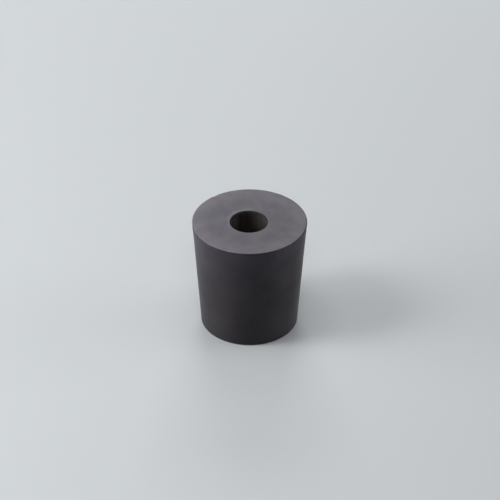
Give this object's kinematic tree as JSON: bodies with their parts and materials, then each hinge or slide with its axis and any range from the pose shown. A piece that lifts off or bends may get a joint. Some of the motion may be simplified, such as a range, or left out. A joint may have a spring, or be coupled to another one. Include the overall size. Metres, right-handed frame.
{
  "type": "rubber stopper",
  "caption": "Black rubber laboratory stopper, a tapered plug with a straight hole through its axis for a glass tube or thermometer.",
  "frame": {"origin": "centre of the narrow end face, where the axis meets the surface that the stopper stands on", "axes": "+Z along the axis of the taper and the hole, from the narrow end to the wide end"},
  "size_m": [0.03, 0.03, 0.031],
  "materials": {
    "rubber": "matte moulded black rubber, greyer on the two end faces"
  },
  "bodies": {
    "root": {"stopper": "rubber"}
  },
  "joints": []
}
